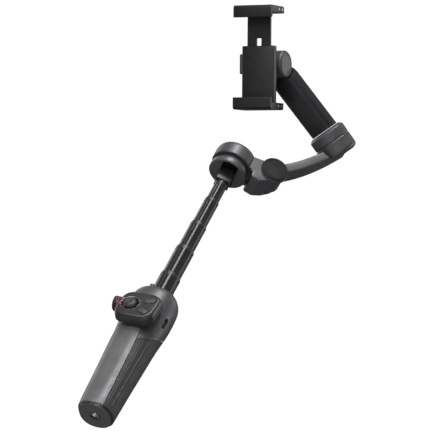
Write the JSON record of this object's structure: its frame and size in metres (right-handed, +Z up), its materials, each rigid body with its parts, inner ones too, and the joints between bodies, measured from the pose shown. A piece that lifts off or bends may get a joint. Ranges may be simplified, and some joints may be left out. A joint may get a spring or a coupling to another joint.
{
  "type": "phone gimbal",
  "caption": "Handheld three-axis phone gimbal with grip, detachable remote, telescopic rod, folding swing arm and a sprung phone clamp.",
  "frame": {"origin": "Centre of the flat base of the handle, at the mouth of the tripod thread.", "axes": "+Z runs up the handle, the rod and the pan axis; -Y is the side with the joystick and buttons; +X is the right of a person facing the controls."},
  "size_m": [0.1003, 0.1302, 0.3911],
  "materials": {
    "satin_strip": "satin, fine grain",
    "grip_rubber": "matte soft-touch",
    "gray_shell": "satin moulded shell",
    "cap_gray": "matte moulded cap",
    "bare_steel": "turned",
    "cell_wrap": "shrink wrap",
    "circuit_board": "solder mask",
    "black_plastic": "fine texture",
    "button_gray": "satin",
    "red_ring": "semi gloss",
    "dial_black": "knurled",
    "remote_gray": "satin",
    "stick_black": "matte",
    "rod_dark": "anodised, fluted",
    "copper_coil": "enamelled wire",
    "cap_rubber": "matte",
    "arm_dark": "satin anodised",
    "clamp_black": "fine texture",
    "pad_rubber": "ribbed"
  },
  "bodies": {
    "handle": {"grip_front_strip": "satin_strip", "grip_rubber_sleeve": "grip_rubber", "head_housing": "gray_shell", "base_cap": "cap_gray", "tripod_thread_insert": "bare_steel", "battery_cell": "cell_wrap", "main_board": "circuit_board", "rod_guide_sleeve": "black_plastic", "rod_collar": "gray_shell", "usb_c_port": "black_plastic", "trigger_pin": "bare_steel"},
    "power_key": {"power_button": "button_gray"},
    "dial": {"dial_shaft": "bare_steel", "dial_red_ring": "red_ring", "side_dial": "dial_black"},
    "trigger": {"rear_trigger": "button_gray"},
    "remote": {"remote_shell": "remote_gray", "remote_back_cover": "black_plastic", "remote_board": "circuit_board"},
    "joystick_ring": {"joystick_gimbal_ring": "bare_steel"},
    "joystick": {"joystick_cap": "stick_black"},
    "upper_key": {"upper_button": "button_gray"},
    "lower_key": {"lower_button": "button_gray"},
    "rod_1": {"rod_tube_1": "rod_dark"},
    "rod_2": {"rod_tube_2": "rod_dark"},
    "rod_3": {"rod_tube_3": "rod_dark"},
    "rod_4": {"rod_tube_4": "rod_dark"},
    "rod_5": {"rod_tube_5": "rod_dark", "neck_block": "black_plastic"},
    "pan_base": {"pan_base_housing": "gray_shell", "neck_pin": "bare_steel", "pan_motor_bearing": "bare_steel", "pan_motor_stator": "copper_coil"},
    "pan_head": {"pan_housing": "gray_shell", "pan_motor_shaft": "bare_steel", "fold_hinge_pin": "bare_steel", "hinge_cap": "cap_rubber"},
    "swing": {"swing_arm": "gray_shell", "roll_stator_housing": "gray_shell", "roll_motor_coil": "copper_coil", "roll_motor_bearing": "bare_steel"},
    "roll": {"roll_rotor_housing": "gray_shell", "roll_motor_shaft": "bare_steel", "tilt_motor_housing": "gray_shell", "roll_arm": "arm_dark", "tilt_motor_coil": "copper_coil"},
    "clamp": {"tilt_rotor_bracket": "gray_shell", "tilt_motor_shaft": "bare_steel", "clamp_body": "clamp_black", "lower_jaw_pad": "pad_rubber", "clamp_spring": "bare_steel"},
    "jaw": {"upper_jaw": "clamp_black", "upper_jaw_pad": "pad_rubber"}
  },
  "joints": [
    {"name": "power_button_press", "type": "slide", "parent": "handle", "child": "power_key", "axis": [0, 0, 1], "range_m": [-0.0008, 0], "stiffness_N_per_m": 900},
    {"name": "side_dial_spin", "type": "hinge", "parent": "handle", "child": "dial", "pos_m": [-0.0206, -0.0085, 0.103], "axis": [-1, 0, 0], "continuous": true},
    {"name": "trigger_pull", "type": "hinge", "parent": "handle", "child": "trigger", "pos_m": [0, 0.016, 0.1086], "axis": [1, 0, 0], "range_deg": [-7, 0], "stiffness_Nm_per_rad": 0.12},
    {"name": "remote_detach", "type": "slide", "parent": "handle", "child": "remote", "axis": [0, -0.9903, 0.1392], "range_m": [0, 0.03]},
    {"name": "joystick_side", "type": "hinge", "parent": "remote", "child": "joystick_ring", "pos_m": [-0.0058, -0.02065, 0.09128], "axis": [0, 0.1392, 0.9903], "range_deg": [-8, 8], "stiffness_Nm_per_rad": 0.03},
    {"name": "joystick_forward", "type": "hinge", "parent": "joystick_ring", "child": "joystick", "pos_m": [-0.0058, -0.02065, 0.09128], "axis": [1, 0, 0], "range_deg": [-8, 8], "stiffness_Nm_per_rad": 0.03},
    {"name": "upper_button_press", "type": "slide", "parent": "remote", "child": "upper_key", "axis": [0, -0.9903, 0.1392], "range_m": [-0.0008, 0], "stiffness_N_per_m": 900},
    {"name": "lower_button_press", "type": "slide", "parent": "remote", "child": "lower_key", "axis": [0, -0.9903, 0.1392], "range_m": [-0.0008, 0], "stiffness_N_per_m": 900},
    {"name": "rod_1_slide", "type": "slide", "parent": "handle", "child": "rod_1", "axis": [0, 0, 1], "range_m": [-0.024, 0]},
    {"name": "rod_2_slide", "type": "slide", "parent": "rod_1", "child": "rod_2", "axis": [0, 0, 1], "range_m": [-0.028, 0]},
    {"name": "rod_3_slide", "type": "slide", "parent": "rod_2", "child": "rod_3", "axis": [0, 0, 1], "range_m": [-0.027, 0]},
    {"name": "rod_4_slide", "type": "slide", "parent": "rod_3", "child": "rod_4", "axis": [0, 0, 1], "range_m": [-0.027, 0]},
    {"name": "rod_5_slide", "type": "slide", "parent": "rod_4", "child": "rod_5", "axis": [0, 0, 1], "range_m": [-0.019, 0]},
    {"name": "neck_tilt", "type": "hinge", "parent": "rod_5", "child": "pan_base", "pos_m": [0, 0, 0.2645], "axis": [0.9063, 0.4226, 0], "range_deg": [-50, 50]},
    {"name": "pan", "type": "hinge", "parent": "pan_base", "child": "pan_head", "pos_m": [0, 0, 0.2715], "axis": [0, 0, 1], "range_deg": [-160, 160]},
    {"name": "arm_fold", "type": "hinge", "parent": "pan_head", "child": "swing", "pos_m": [0.02719, 0.01551, 0.2807], "axis": [0.4955, -0.8686, 0], "range_deg": [-105, 0]},
    {"name": "roll", "type": "hinge", "parent": "swing", "child": "roll", "pos_m": [0.0546, 0.0289, 0.3441], "axis": [-0.6492, -0.6769, 0.3469], "range_deg": [-120, 60]},
    {"name": "tilt", "type": "hinge", "parent": "roll", "child": "clamp", "pos_m": [0.0003, -0.0229, 0.3679], "axis": [0.9876, -0.1441, 0.0628], "range_deg": [-110, 15]},
    {"name": "jaw_slide", "type": "slide", "parent": "clamp", "child": "jaw", "axis": [-0.1472, -0.7079, 0.6908], "range_m": [-0.012, 0.02], "stiffness_N_per_m": 180}
  ]
}
